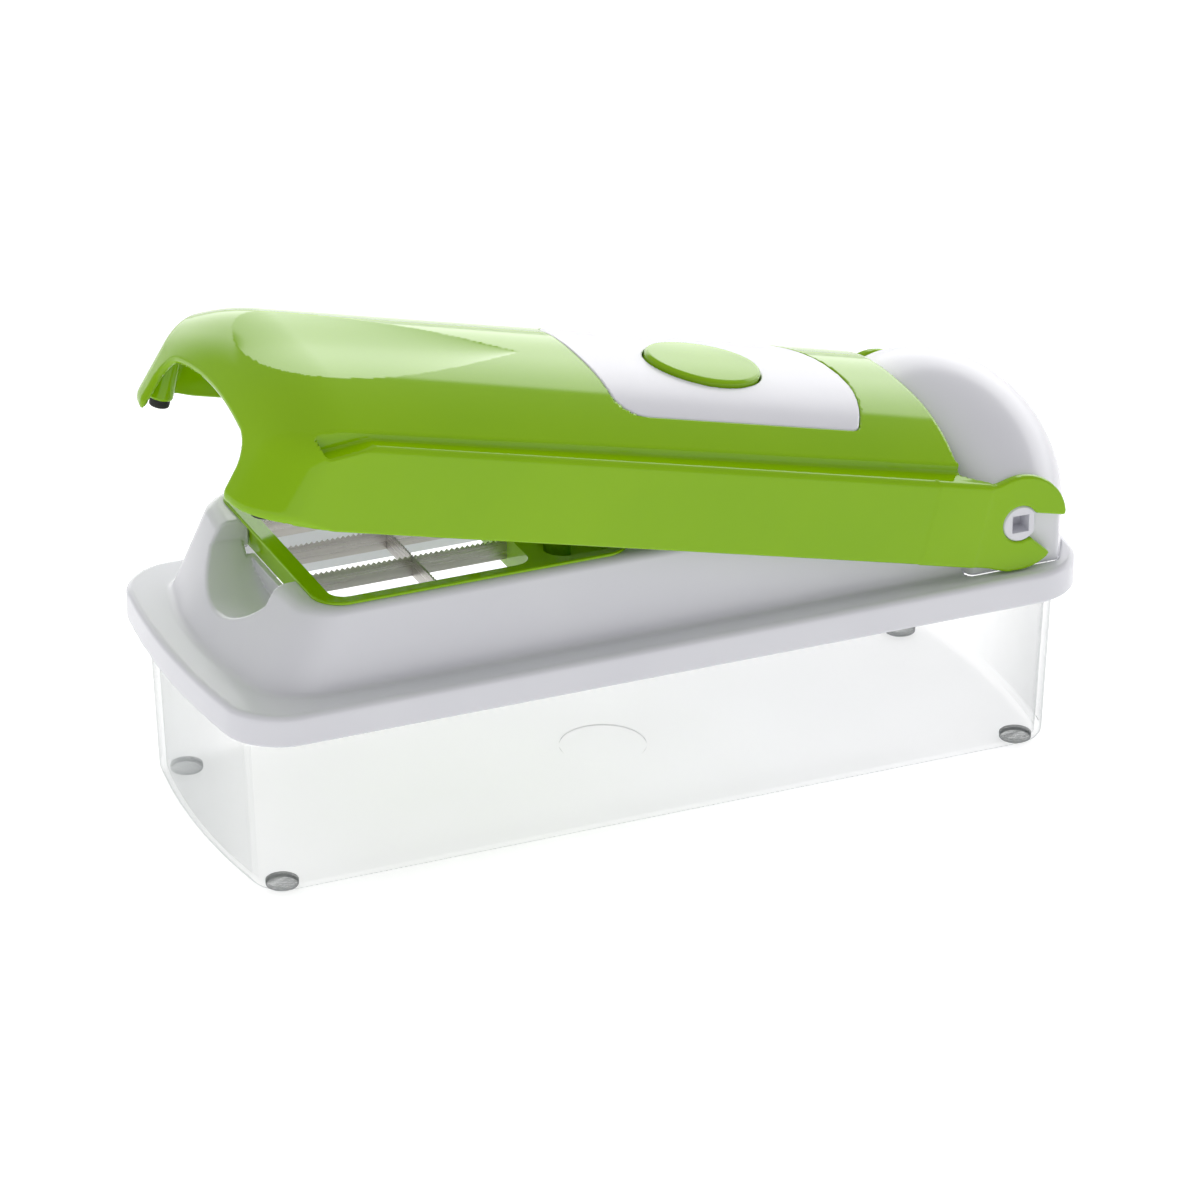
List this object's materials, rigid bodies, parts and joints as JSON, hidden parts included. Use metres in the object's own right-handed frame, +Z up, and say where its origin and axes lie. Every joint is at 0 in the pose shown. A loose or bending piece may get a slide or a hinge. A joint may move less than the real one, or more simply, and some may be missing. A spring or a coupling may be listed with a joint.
{
  "type": "vegetable dicer",
  "caption": "Push-down vegetable dicer: green hinged lid with a palm rest and release button, white deck with a bladed grid insert, over a clear catch container.",
  "frame": {"origin": "middle of the container's footprint, on the surface the feet stand on", "axes": "+X from the handle end to the hinge end, +Y to the far side, +Z up; the lid is at its rest angle, part open"},
  "size_m": [0.272, 0.1106, 0.1495],
  "materials": {
    "clear_plastic": "clear moulded",
    "foot_rubber": "matte",
    "white_plastic": "satin gloss",
    "green_plastic": "high gloss",
    "green_matte": "satin",
    "blade_steel": "ground",
    "spring_steel": "drawn wire",
    "screw_steel": "bright",
    "black_rubber": "matte"
  },
  "bodies": {
    "container": {"container": "clear_plastic", "container_feet": "foot_rubber"},
    "deck": {"deck_frame": "white_plastic", "hinge_tower": "white_plastic", "hinge_pin_near": "white_plastic", "hinge_pin_far": "white_plastic", "insert_frame": "green_plastic", "long_blade_near": "blade_steel", "long_blade_middle": "blade_steel", "long_blade_far": "blade_steel", "cross_blade": "blade_steel"},
    "lid": {"lid_shell": "green_plastic", "top_panel": "white_plastic", "button_springs": "spring_steel", "latch_spring": "spring_steel", "latch_tray": "white_plastic", "tray_screws": "screw_steel", "pusher_plate": "white_plastic", "cleaning_comb": "green_matte", "stop_pads": "black_rubber"},
    "button": {"push_button": "green_plastic"},
    "latch": {"latch_slide": "white_plastic"}
  },
  "joints": [
    {"name": "deck_lift", "type": "slide", "parent": "container", "child": "deck", "axis": [0, 0, 1], "range_m": [0, 0.08]},
    {"name": "lid_hinge", "type": "hinge", "parent": "deck", "child": "lid", "pos_m": [0.1104, 0, 0.0762], "axis": [0, 1, 0], "range_deg": [-13.7, 75]},
    {"name": "button_press", "type": "slide", "parent": "lid", "child": "button", "axis": [-0.2368, 0, -0.9715], "range_m": [0, 0.0025], "stiffness_N_per_m": 600, "deforming": ["button_springs"]},
    {"name": "latch_draw", "type": "slide", "parent": "lid", "child": "latch", "axis": [0.9715, 0, -0.2368], "range_m": [0, 0.002], "deforming": ["latch_spring"]}
  ],
  "couplings": [
    {"joint": "latch_draw", "follows": "button_press", "ratio": 0.8}
  ]
}
